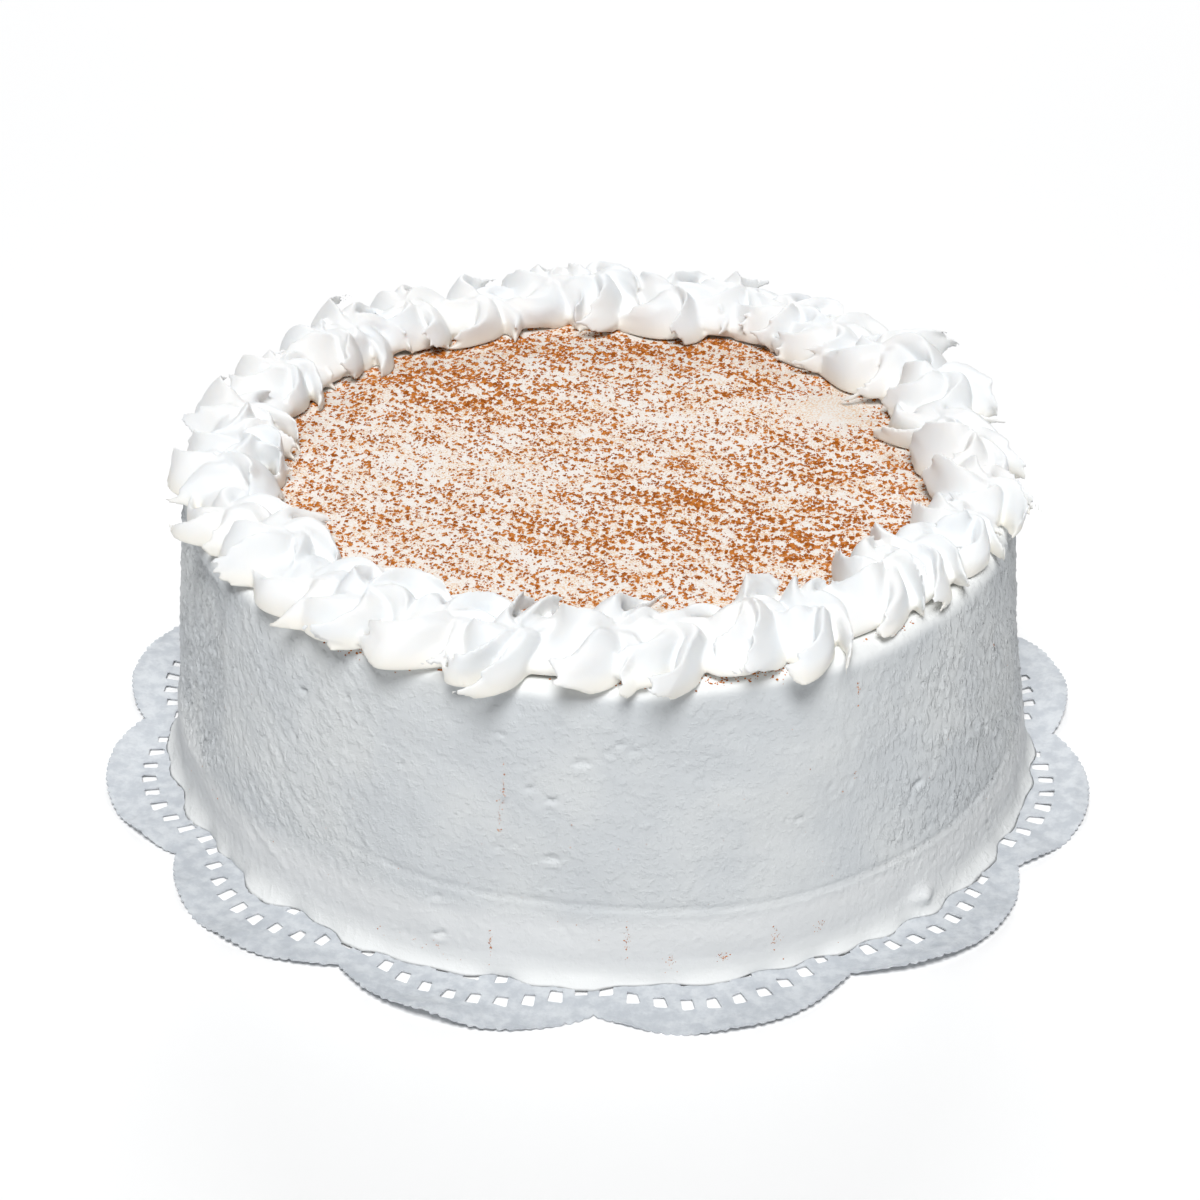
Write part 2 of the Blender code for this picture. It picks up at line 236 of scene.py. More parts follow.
SHELF_GRAINS = (                # outside the border: angle, radius in millimetres, spread of the angle, count
    (-90.4, 100.6, 3.0, 60), (-85.5, 101.0, 3.5, 80), (-80.6, 101.8, 2.6, 60), (-72.8, 102.0, 2.2, 60),
    (-68.1, 102.6, 1.6, 40), (-61.6, 100.6, 1.2, 30), (-125.5, 103.2, 2.2, 70), (-121.9, 103.2, 2.0, 70),
    (-118.4, 102.8, 2.0, 50), (-108.0, 102.5, 3.0, 16), (-50.0, 101.5, 3.0, 20),
)
SHELF_SIZES = (0.00025, 0.0008)            # smallest grain, and how much larger the largest is
SIDE_GRAINS = (                 # smears and specks: angle, height in millimetres, spread of each, count
    (-103.2, 9.6, 0.15, 1.6, 26), (-86.7, 11.0, 0.2, 2.4, 30), (-81.5, 5.7, 0.4, 1.0, 26),
    (-75.0, 5.7, 0.5, 0.8, 24), (-68.4, 9.0, 0.4, 1.4, 26), (-62.5, 8.2, 0.5, 1.0, 20),
    (-101.9, 50.0, 0.10, 2.6, 26), (-102.3, 43.0, 0.12, 2.8, 20), (-57.2, 67.0, 0.15, 1.6, 20),
    (-57.4, 45.8, 0.1, 0.5, 8), (-26.9, 54.2, 0.1, 0.3, 5), (-112.0, 5.0, 3.0, 1.2, 20),
    (-90.0, 30.0, 60.0, 18.0, 70),
)
SIDE_SIZES = (0.00015, 0.0004)
SIDE_GRAINS_LOW, SIDE_GRAINS_HIGH = 2.5, 71
MARK_SIDES = 5
MARK_SEED = 81

# Studio and camera
SKY_COLOUR = (0.90, 0.95, 1.0, 1)
SKY_STRENGTH = 0.05
FLOOR_COLOUR = (0.98, 0.98, 0.98, 1)
FLOOR_HALF = 4.0
LAMPS = (                       # name, place, size, power
    ("key", (-0.08, -2.6, 4.25), 2.1, 250),
    ("fill", (0.0, 2.4, 1.2), 1.5, 28),
)
LAMP_TARGET = (0, 0, 0.05)
CAMERA_ELEVATION = math.radians(30.67)
CAMERA_ROLL = math.radians(0.94)
CAMERA_DISTANCE = 0.735
CAMERA_TARGET_HEIGHT = 0.03755
SENSOR_WIDTH = 36
LENS = 86.7
LENS_SHIFT = (-5 / 1200, -1.8 / 1200)
CLIP_NEAR, CLIP_FAR = 0.01, 20

CAKE_BASE = DOILY_THICKNESS + GAP
FOOT_BASE = DOILY_THICKNESS - 0.00004      # the icing's edge lies on the paper
CAKE_TOP = DOILY_THICKNESS + CAKE_HEIGHT
BORDER_BASE = CAKE_TOP + GAP
BORDER_CENTRE = (CAKE_CENTRE[0] + BORDER_OFFSET[0], CAKE_CENTRE[1] + BORDER_OFFSET[1])


def new_mesh(name, points, faces, material):
    mesh = bpy.data.meshes.new(name)
    mesh.from_pydata(np.asarray(points).tolist(), [], faces)
    mesh.update()
    mesh.shade_smooth()
    thing = bpy.data.objects.new(name, mesh)
    bpy.context.scene.collection.objects.link(thing)
    mesh.materials.append(material)
    return thing


def apply_modifiers(thing):
    seen = thing.evaluated_get(bpy.context.evaluated_depsgraph_get())
    mesh = bpy.data.meshes.new_from_object(seen)
    thing.modifiers.clear()
    thing.data = mesh


def ripples(points, length, seed, count=24):
    """A smooth random field of about unit size, from waves of about that length in every direction."""
    dice = np.random.default_rng(seed)
    along = dice.normal(size=(count, points.shape[-1]))
    paces = 2 * math.pi / length * dice.uniform(0.6, 1.5, count)
    along *= (paces / np.linalg.norm(along, axis=1))[:, None]
    phase = dice.uniform(0, 2 * math.pi, count)
    total = np.zeros(points.shape[:-1])
    for k in range(count):
        total += np.sin(points @ along[k] + phase[k])
    return total * math.sqrt(2 / count)


def streaks(angle, height, length, across, lean, seed, count=30):
    """Fine ridges on the side: waves of that length across them, drawn out along lean, degrees from upright."""
    dice = np.random.default_rng(seed)
    total = np.zeros(np.broadcast(angle, height).shape)
    for _ in range(count):
        pace = 2 * math.pi / (length * dice.uniform(0.6, 1.8))
        turn = math.radians(lean) + dice.normal() * across
        round_waves = round(pace * math.cos(turn) * CAKE_SEAM_RADIUS)
        phase = dice.uniform(0, 2 * math.pi)
        total += np.sin(round_waves * angle + pace * math.sin(turn) * height + phase)
    return total * math.sqrt(2 / count)


# Materials

class Nodes:
    """A short way to wire a node tree. An input is given by its name, or as i and its number."""

    def __init__(self, tree):
        self.tree = tree

    def add(self, kind, settings=None, **inputs):
        node = self.tree.nodes.new(kind)
        for name, value in (settings or {}).items():
            setattr(node, name, value)
        for name, value in inputs.items():
            numbered = name[0] == "i" and name[1:].isdigit()
            socket = node.inputs[int(name[1:]) if numbered else name.replace("_", " ")]
            if isinstance(value, bpy.types.NodeSocket):
                self.tree.links.new(value, socket)
            else:
                socket.default_value = value
        return node

    def math(self, operation, first, second):
        return self.add("ShaderNodeMath", {"operation": operation}, i0=first, i1=second).outputs[0]

    def ramp(self, value, low, high, to_low=0.0, to_high=1.0):
        node = self.add("ShaderNodeMapRange", {"interpolation_type": "SMOOTHSTEP"}, Value=value,
                        From_Min=low, From_Max=high, To_Min=to_low, To_Max=to_high)
        return node.outputs[0]

    def mix(self, share, first, second):
        node = self.add("ShaderNodeMix", {"data_type": "RGBA"}, i0=share, i6=first, i7=second)
        return node.outputs[2]

    def noise(self, spot, scale, detail=3.0, roughness=0.5):
        node = self.add("ShaderNodeTexNoise", Vector=spot, Scale=scale, Detail=detail, Roughness=roughness)
        return node.outputs[0]

    def parts(self, spot):
        """The three coordinates of a spot."""
        return self.add("ShaderNodeSeparateXYZ", i0=spot).outputs

    def bump(self, shader, height, strength, distance):
        node = self.add("ShaderNodeBump", Strength=strength, Distance=distance, Height=height)
        self.tree.links.new(node.outputs[0], shader.inputs["Normal"])

    def colour(self, shader, value):
        self.tree.links.new(value, shader.inputs["Base Color"])


def rgb(red, green, blue):
    """A colour as a picture shows it, 0 to 255, turned to linear light."""
    def linear(value):
        value /= 255
        return value / 12.92 if value <= 0.04045 else ((value + 0.055) / 1.055) ** 2.4
    return (linear(red), linear(green), linear(blue), 1.0)


def start_material(name, roughness, specular=0.35, scatter=0.0, scatter_size=0.001):
    material = bpy.data.materials.new(name)
    material.use_nodes = True
    tree = material.node_tree
    shader = tree.nodes["Principled BSDF"]
    shader.inputs["Roughness"].default_value = roughness
    shader.inputs["Subsurface Weight"].default_value = scatter
    shader.inputs["Subsurface Radius"].default_value = (1.0, 0.9, 0.8)
    shader.inputs["Specular IOR Level"].default_value = specular
    shader.inputs["Subsurface Scale"].default_value = scatter_size
    nodes = Nodes(tree)
    spot = nodes.add("ShaderNodeTexCoord").outputs["Object"]
    return material, nodes, shader, spot


def side_material():
    material, nodes, shader, spot = start_material("side_icing", 0.55, 0.2)
    height = nodes.parts(spot)[2]

    # painted shade: the side is painted grey for the shade it gets, lighter below the seam and at the foot, where
    # the floor's light reaches, and white on the rim
    cloudy = nodes.noise(spot, 40.0, 4.0)
    painted_shade_grey = nodes.mix(nodes.ramp(cloudy, 0.35, 0.7), rgb(201, 205, 208), rgb(211, 214, 215))
    below_seam = nodes.ramp(height, CAKE_SEAM_HEIGHT + 0.001, CAKE_SEAM_HEIGHT - 0.006)
    painted_shade_grey = nodes.mix(below_seam, painted_shade_grey, rgb(224, 226, 227))
    painted_shade_grey = nodes.mix(nodes.ramp(height, 0.007, 0.002), painted_shade_grey, rgb(228, 230, 230))
    white = nodes.mix(nodes.ramp(height, CAKE_TOP - 0.0036, CAKE_TOP - 0.0006), painted_shade_grey, rgb(234, 236, 236))

    # the top inside the border, warmer and stained by the cinnamon
    on_top = nodes.ramp(height, CAKE_TOP - 0.0012, CAKE_TOP - 0.0006)
    middle = nodes.add("ShaderNodeVectorMath", {"operation": "MULTIPLY_ADD"},
                       i0=spot, i1=(1, 1, 0), i2=(-BORDER_CENTRE[0], -BORDER_CENTRE[1], 0)).outputs[0]
    reach = nodes.add("ShaderNodeVectorMath", {"operation": "LENGTH"}, i0=middle).outputs["Value"]
    within = nodes.math("MULTIPLY", on_top, nodes.ramp(reach, 0.086, 0.080))
    specks = nodes.ramp(nodes.noise(spot, 1900.0, 2.0, 0.7), 0.46, 0.60)
    dusty = nodes.math("MULTIPLY", specks, within)
    clouds = nodes.ramp(nodes.noise(spot, 110.0, 4.0, 0.7), 0.38, 0.62, 0.15, 0.85)
    warm = nodes.mix(within, white, rgb(234, 230, 225))
    nodes.colour(shader, nodes.mix(nodes.math("MULTIPLY", dusty, clouds), warm, rgb(220, 172, 112)))

    # fine flecks: slanted at the left, upright at the right, and level except at the right
    across = nodes.parts(spot)[0]
    rough = nodes.math("MULTIPLY", nodes.noise(spot, 900.0, 3.0, 0.6), 0.45)
    for lean, low, high, amount in ((-35, -0.020, -0.080, 0.9), (8, 0.040, 0.085, 1.5), (70, 0.080, 0.020, 0.5)):
        drawn = nodes.add("ShaderNodeMapping", {"vector_type": "TEXTURE"}, Vector=spot,
                          Rotation=(math.radians(lean), 0, 0), Scale=(1, 1, 2.2)).outputs[0]
        flecks = nodes.ramp(nodes.noise(drawn, 600.0, 3.0, 0.6), 0.46, 0.70)
        flecks = nodes.math("MULTIPLY", flecks, nodes.ramp(across, low, high, 0.0, amount))
        rough = nodes.math("ADD", rough, flecks)
    below_rim = nodes.ramp(height, CAKE_TOP - 0.002, CAKE_TOP - 0.005, 0.3, 1.0)
    above_foot = nodes.ramp(height, 0.010, 0.024, 0.35, 1.0)
    shown = nodes.math("MULTIPLY", below_rim, above_foot)
    nodes.bump(shader, nodes.math("MULTIPLY", rough, shown), 0.8, 0.0003)
    return material


def cream_material():
    material, nodes, shader, spot = start_material("piped_cream", 0.5, 0.25, 0.25, 0.002)
    cloudy = nodes.noise(spot, 60.0, 2.0)
    white = nodes.mix(nodes.ramp(cloudy, 0.3, 0.7), rgb(238, 241, 243), rgb(243, 243, 242))
    # painted shade: low down the cream is painted warmer and a little darker, for the warm shade in the border's
    # crevices
    painted_crevice_shade = nodes.ramp(nodes.parts(spot)[2], BORDER_BASE + 0.006, BORDER_BASE + 0.0005)
    nodes.colour(shader, nodes.mix(painted_crevice_shade, white, rgb(241, 238, 230)))
    nodes.bump(shader, nodes.noise(spot, 500.0, 3.0, 0.55), 0.25, 0.0002)
    return material


def paper_material():
    material, nodes, shader, spot = start_material("doily_paper", 0.6)
    mottled = nodes.ramp(nodes.noise(spot, 260.0, 4.0, 0.65), 0.35, 0.68)
    nodes.colour(shader, nodes.mix(mottled, rgb(188, 193, 199), rgb(209, 213, 217)))
    nodes.bump(shader, nodes.noise(spot, 1400.0, 3.0, 0.6), 0.4, 0.0002)
    return material


def cinnamon_material():
    material, nodes, shader, spot = start_material("cinnamon", 0.9, 0.1)
    uneven = nodes.ramp(nodes.noise(spot, 700.0, 2.0), 0.38, 0.62)
    nodes.colour(shader, nodes.mix(uneven, rgb(160, 88, 28), rgb(202, 128, 58)))
    return material


def floor_material():
    material, _, shader, _ = start_material("studio_floor", 0.9)
    shader.inputs["Base Color"].default_value = FLOOR_COLOUR
    return material


# Border

def draw_drop(dice, index):
    def draw(name):
        return SPREAD[name] * max(-2.0, min(2.0, dice.gauss(0, 1)))
    petals = dice.choice(PETALS)
    return {
        "petals": petals,
        "reach": DROP_REACH * (1 + draw("reach")),
        "along": DROP_ALONG * (1 + draw("along")),
        "height": DROP_HEIGHT * (1 + draw("height")),
        "twist": PETAL_TWIST + draw("twist"),
        "phase": index * PHASE_STEP + draw("phase"),
        "slant": PETAL_SLANT + SLANT_SWING * math.cos(2 * math.pi * index / DROPS - SLANT_TOWARD),
        "tilt": draw("tilt"),
        "roll": draw("roll"),
        "slip": draw("slip"),
        "shift": draw("shift"),
        "sizes": [1 + draw("size") for _ in range(petals)],
        "crests": [1 + draw("crest") for _ in range(petals)],
        "spans": [1 + draw("span") for _ in range(petals)],
    }


def bend(points):
    """The long waves that bend the whole border a little."""
    dice = random.Random(WAVE_SEED)
    waves = []
    for _ in range(WAVES):
        along = [dice.gauss(0, 1) for _ in range(3)]
        push = [dice.gauss(0, 1) for _ in range(3)]
        pace = 2 * math.pi / WAVE_LENGTH * dice.uniform(0.5, 1.2) / math.hypot(*along)
        size = WAVE_SIZE / math.hypot(*push) / math.sqrt(WAVES)
        waves.append((pace * np.array(along), dice.uniform(0, 2 * math.pi), size * np.array(push)))
    moved = points.copy()
    for along, phase, push in waves:
        moved += np.sin(points @ along + phase)[..., None] * push
    return moved


def turned_by(first, second, angle):
    return first * math.cos(angle) - second * math.sin(angle), first * math.sin(angle) + second * math.cos(angle)


def drop_points(drop, index):
    """The skin of one drop as rings of points from foot to top, on the border's circle."""
    level = np.linspace(-TUCK, 1.0, DROP_LEVELS)[:, None]
    column = np.tile(np.arange(PETAL_COLUMNS) / PETAL_COLUMNS, drop["petals"])[None, :]
    petal = np.repeat(np.arange(drop["petals"]), PETAL_COLUMNS)
    sizes = np.array(drop["sizes"])[petal]
    crests = np.array(drop["crests"])[petal]
    spans = np.array(drop["spans"]) / sum(drop["spans"])
    turned = (np.cumsum(spans) - spans)[petal] + column * spans[petal]

    # body: a dome over a tucked-in foot
    climb = (level + TUCK) / (1 + TUCK)
    belly = 1 - (1 - TUCKED_RADIUS) * (level / TUCK) ** 2
    dome = (1 - DOME_TAPER * np.maximum(level, 0) ** DOME_SQUARE) ** DOME_FALL
    body = np.where(level < 0, belly, dome)

    # lobe: each petal fans out to a thick, slightly ragged lip and falls back
    fan = (column / PETAL_LIP) ** FAN_BEND
    past = ((1 - column) / (1 - PETAL_LIP)) ** LIP_BEND
    fan = np.where(column < PETAL_LIP, fan, past)
    lobe = fan + PLAIN_SHARE * (1 - np.abs(2 * column - 1) ** PLAIN_BEND - fan)
    lobe = lobe + LIP_BEAD * np.exp(-((column - PETAL_LIP + LIP_BACK) / LIP_WIDTH) ** 2)
    radius = body * (1 - PETAL_DEPTH + PETAL_DEPTH * lobe * sizes)
    edge = (drop["height"] * climb, drop["along"] * 2 * math.pi * turned, float(index))
    edge = np.stack(np.broadcast_arrays(*edge), axis=-1)
    radius = radius * (1 + RAGGED * lobe ** 4 * ripples(edge, RAGGED_LENGTH, RAGGED_SEED))

    # twist and rise
    angle = 2 * math.pi * turned + drop["phase"]
    angle = angle + drop["twist"] * (climb - TUCK) + PETAL_CURL * np.minimum(radius, CURL_LIMIT) ** 2
    rise = climb - 0.5 * PETAL_CREST * (1 - lobe) * np.sin(math.pi * climb)
    rise = rise - TOP_DIMPLE * np.exp(-(radius / DIMPLE_RADIUS) ** 2) * np.maximum(level, 0)
    rise = rise * (1 + (crests - 1) * lobe * climb)

    # lean and place on the ring
    across = drop["reach"] * radius * np.sin(angle)
    along = drop["along"] * radius * np.cos(angle) - drop["slant"] * across
    across, up = turned_by(across, drop["height"] * rise, drop["tilt"])
    up, along = turned_by(up, along, drop["roll"])
    turn = 2 * math.pi * (index + drop["slip"]) / DROPS
    across = across * (1 + FRONT_REACH * math.sin(turn) ** 2)
    to_left = LEFT_SHIFT * max(0.0, math.cos(turn - LEFT_TOWARD)) ** 2
    out = BORDER_RADIUS + drop["shift"] + across + to_left
    x = BORDER_CENTRE[0] + out * math.cos(turn) - along * math.sin(turn)
    y = BORDER_CENTRE[1] + out * math.sin(turn) + along * math.cos(turn)
    return np.stack([x, y, BORDER_BASE - DROP_SINK + up], axis=-1)


def strips(grid):
    """Four-sided faces between the neighbouring rings of a grid of point numbers, closed round each ring."""
    there = np.roll(grid, -1, axis=1)
    return np.stack([grid[:-1], there[:-1], there[1:], grid[1:]], axis=-1).reshape(-1, 4).tolist()


def fans(ring, hub):
    """Triangles from a closed ring of point numbers to the point in its middle."""
    return np.stack([ring, np.roll(ring, -1), np.full(len(ring), hub)], axis=-1).tolist()


def rope_points():
    turn = 2 * math.pi * np.arange(ROPE_STEPS)[:, None] / ROPE_STEPS
    round_way = 2 * math.pi * np.arange(ROPE_SIDES)[None, :] / ROPE_SIDES
    out = BORDER_RADIUS + ROPE_HALF_WIDTH * np.cos(round_way) + 0 * turn
    up = BORDER_BASE - DROP_SINK + 0.5 * ROPE_HEIGHT * (1 + np.sin(round_way)) + 0 * turn
    x = BORDER_CENTRE[0] + out * np.cos(turn)
    y = BORDER_CENTRE[1] + out * np.sin(turn)
    return np.stack([x, y, up], axis=-1)


def build_border(material):
    dice = random.Random(BORDER_SEED)
    points, faces = [], []
    count = 0
    for index in range(DROPS):
        rings = bend(drop_points(draw_drop(dice, index), index))
        levels, around = rings.shape[:2]
        hubs = rings[[0, -1]].mean(axis=1)
        points.append(np.concatenate([rings.reshape(-1, 3), hubs]))
        grid = count + np.arange(levels * around).reshape(levels, around)
        count += levels * around + len(hubs)
        faces += strips(grid)
        faces += [[b, a, hub] for a, b, hub in fans(grid[0], count - 2)]
        faces += fans(grid[-1], count - 1)
    points.append(rope_points().reshape(-1, 3))
    here = count + np.arange(ROPE_STEPS * ROPE_SIDES).reshape(ROPE_STEPS, ROPE_SIDES)
    there, beside = np.roll(here, -1, axis=0), np.roll(here, -1, axis=1)
    faces += np.stack([here, there, np.roll(there, -1, axis=1), beside], axis=-1).reshape(-1, 4).tolist()

    points = np.concatenate(points)
    room = (cad_high.z - BORDER_BASE) / (points[:, 2].max() - BORDER_BASE)
    points[:, 2] = BORDER_BASE + np.maximum(points[:, 2] - BORDER_BASE, 0) * min(room, 1.0)
    border = new_mesh("cream_border", points, faces, material)
    fuse = border.modifiers.new("fuse", "REMESH")
    fuse.mode = "VOXEL"
    fuse.voxel_size = CREAM_VOXEL
    soften = border.modifiers.new("soften", "SMOOTH")
    soften.factor = CREAM_SOFTNESS
    soften.iterations = 1
    apply_modifiers(border)
    border.data.calc_loop_triangles()
    lighter = border.modifiers.new("lighter", "DECIMATE")
    lighter.ratio = min(1.0, CREAM_TRIANGLES / len(border.data.loop_triangles))
    apply_modifiers(border)
    border.data.shade_smooth()
    return border


# Cake

def cake_line():
    """The cake's outline from its edge on the paper up the side and over the rim: radius and height of each
    corner, and how far along the outline each one is."""
    seam = DOILY_THICKNESS + CAKE_SEAM_HEIGHT
    knots = [
        (CAKE_FOOT_RADIUS, FOOT_BASE),
        (CAKE_FOOT_RADIUS, CAKE_BASE + 0.5 * FOOT_THICKNESS),
        (CAKE_FOOT_RADIUS - 0.0003, CAKE_BASE + FOOT_THICKNESS),
        (CAKE_FLARE_RADIUS, CAKE_BASE + FLARE_HEIGHT),
        (CAKE_SEAM_RADIUS + SEAM_STEP, seam - 0.003),
        (CAKE_SEAM_RADIUS, seam + 0.001),
        (CAKE_TOP_RADIUS, CAKE_TOP - RIM_ROUND),
    ]
    for step in range(1, RIM_STEPS + 1):
        turn = math.radians(90 / RIM_STEPS * step)
        inwards, down = RIM_ROUND * (1 - math.cos(turn)), RIM_ROUND * (1 - math.sin(turn))
        knots.append((CAKE_TOP_RADIUS - inwards, CAKE_TOP - down))
    knots.append((TOP_SWITCH, CAKE_TOP))
    knots = np.array(knots)
    way = np.concatenate([[0], np.cumsum(np.hypot(*np.diff(knots, axis=0).T))])
    return knots, way


KNOTS, WAY = cake_line()
TOP_WAY = WAY[-1]


def apart(angle, other):
    """The turn from the other angle to this one, from minus to plus half a circle."""
    return (angle - other + math.pi) % (2 * math.pi) - math.pi


def away(angle, height, middle, level):
    """Distances along the side and up from a place on it."""
    return CAKE_SEAM_RADIUS * apart(angle, middle), height - level


def pit(along, up, width, depth, lean):
    """A burst air bubble: a thin dark edge along its top, and a floor that slopes out to a small ledge."""
    up, along = turned_by(up, along, lean)
    down = -up / (0.30 * width + 0.0005) - 0.4 * (along / width) ** 2
    profile = np.interp(down, (-0.9, -0.5, 0.9, 1.7), (0.0, -1.0, 0.45, 0.0))
    return depth * profile * np.exp(-(along / (0.6 * width)) ** 4)


def pits(angle, height):
    """Air bubbles of every size all over the side."""
    dice = np.random.default_rng(PIT_SEED)
    total = np.zeros(np.broadcast(angle, height).shape)
    marks = []
    for turn, level, width, depth in PITS:
        marks.append((math.radians(turn), level / 1000, width / 1000, depth / 1000, 0.0))
    for _ in range(SMALL_PITS):
        middle = dice.uniform(-math.pi, math.pi)
        width = 0.001 * min(0.45 * dice.pareto(2.6) + 0.7, 3.0)
        at_left = math.sin(middle + 1.0) < -0.2 and math.cos(middle) < -0.35
        lean = -0.5 if at_left else dice.normal() * 0.25
        marks.append((middle, dice.uniform(0.006, CAKE_TOP - 0.004), width, SMALL_PIT_DEPTH * width, lean))
    for middle, level, width, depth, lean in marks:
        along, up = away(angle, height, middle, level)
        near = (np.abs(along) < 2 * width) & (np.abs(up) < 2.2 * width)
        total[near] += pit(along[near], up[near], width, PIT_STRENGTH * depth, lean)
    return total


def ridge_marks(angle, height):
    total = np.zeros(angle.shape)
    for start, end, size in RIDGES:
        begin = np.array([CAKE_SEAM_RADIUS * math.radians(start[0]), start[1] / 1000])
        span = np.array([CAKE_SEAM_RADIUS * math.radians(end[0]), end[1] / 1000]) - begin
        along, up = CAKE_SEAM_RADIUS * angle - begin[0], height - begin[1]
        share = np.clip((along * span[0] + up * span[1]) / (span @ span), 0, 1)
        off = np.hypot(along - share * span[0], up - share * span[1])
        total = np.maximum(total, 0.001 * size * np.exp(-(off / RIDGE_WIDTH) ** 2))
    return total


def over(angle, table):
    """A value round the cake, read from a table of degrees and values."""
    turns, values = np.array(table, float).T
    return np.interp(np.degrees(angle), turns, values)


def knife_marks(angle, height, ring, on_side):
    """The knife's strokes, slanted at the left, upright at the right and level all round, and the rough icing."""
    left = np.clip(-1.8 * np.cos(angle) - 0.55, 0, 1)
    right = np.clip(2.4 * np.cos(angle) - 1.1, 0, 1)
    back = np.clip(np.sin(angle), 0, 1)
    strokes = (
        (0.3 + 1.8 * left) * streaks(angle, height, *DIAGONAL)
        + (0.3 + 1.7 * right + 0.5 * back) * streaks(angle, height, *UPRIGHT)
        + (0.45 + 0.3 * left) * streaks(angle, height, *LEVEL)
    )
    strokes = strokes * np.clip((height - 0.008) / 0.014, 0.15, 1)
    patchy = np.clip(0.55 + 0.5 * ripples(ring, 0.014, 14), 0.1, 1.6)
    rough = on_side * ROUGH_SIZE * (1 + 1.2 * left + 2.2 * right) * ripples(ring, 0.0022, 15, 60)
    return on_side * STROKE_SIZE * patchy * strokes, rough


def flat_place(angle, radius, height, ring):
    """How far the flat place is cut in, less its pebbly surface."""
    across = apart(angle, math.radians(FLAT_SPOT))
    fall = ((height - FLAT_MIDDLE) / (FLAT_MIDDLE - FLAT_LOW)) ** 4
    deep = FLAT_DEPTH * np.clip(1 - 0.85 * fall, 0, 1)
    cut = np.maximum(radius - (radius - deep) / np.cos(np.clip(across, -1, 1)), 0)
    ends = np.clip((height - FLAT_LOW) / 0.003, 0, 1) * np.clip((FLAT_HIGH - height) / 0.0012, 0, 1)
    pebbly = PEBBLE_SIZE * ripples(ring, 0.0024, 17, 60) * np.clip(cut / 0.0006, 0, 1)
    return (cut - pebbly) * ends


def cake_relief(angle, radius, height):
    """How far the icing stands out from its plain outline."""
    ring = np.stack([radius * np.cos(angle), radius * np.sin(angle), height + 0 * angle], axis=-1)
    on_side = np.clip((height - 0.003) / 0.004, 0, 1) * np.clip((CAKE_TOP - 0.0008 - height) / 0.002, 0, 1)
    relief = sum(size * ripples(ring, length, seed) for size, length, seed in SWELLS)
    strokes, rough = knife_marks(angle, height, ring, on_side)
    relief = relief + strokes + rough
    relief = relief + on_side * (pits(angle, height) + ridge_marks(angle, height))
    above = height - 0.001 * over(angle, SEAM_LINE)
    groove = np.exp(-(above / 0.00055) ** 2) - 0.2 * np.exp(-((above + 0.0013) / 0.0008) ** 2)
    relief = relief - SEAM_GROOVE * over(angle, SEAM_DEPTH) * groove
    relief = relief - flat_place(angle, radius, height, ring)
    along, up = away(angle, height, math.radians(BLOB[0]), BLOB[1])
    relief = relief + BLOB[2] * np.exp(-(along / BLOB_WIDE) ** 2 - (up / BLOB_TALL) ** 2)
    edge = np.clip(FOOT_REACH + FOOT_WAVES * ripples(ring, 0.016, 16), 0.0, FOOT_LIMIT)
    return relief + np.exp(-(height - FOOT_BASE) / FOOT_FALL) * edge


def cake_surface(angle, way):
    """A point of the icing at that angle and that far along the outline."""
    radius = np.interp(way, WAY, KNOTS[:, 0])
    height = np.interp(way, WAY, KNOTS[:, 1])
    step = 0.0008
    out_r = np.interp(way + step, WAY, KNOTS[:, 1]) - np.interp(way - step, WAY, KNOTS[:, 1])
    out_z = np.interp(way - step, WAY, KNOTS[:, 0]) - np.interp(way + step, WAY, KNOTS[:, 0])
    size = np.hypot(out_r, out_z)
    relief = cake_relief(angle, radius, height)
    near = [np.clip(angle + aside, -math.pi, math.pi) for aside in (-TRIM_SPREAD, 0, TRIM_SPREAD)]
    trim = sum(over(turn, TRIM) for turn in near) / 3000
    trim = trim * np.interp(height, *TRIM_FADE) * np.clip((radius - TOP_SWITCH) / 0.010, 0, 1)
    at_foot = height < CAKE_BASE + 0.002
    out_r, out_z = np.where(at_foot, size, out_r), np.where(at_foot, 0.0, out_z)
    return radius + relief * out_r / size - trim, height + relief * out_z / size


def top_height(x, y):
    spot = np.stack([x, y], axis=-1)
    return CAKE_TOP + 0.00025 * ripples(spot, 0.05, 31) + 0.00008 * ripples(spot, 0.016, 32)


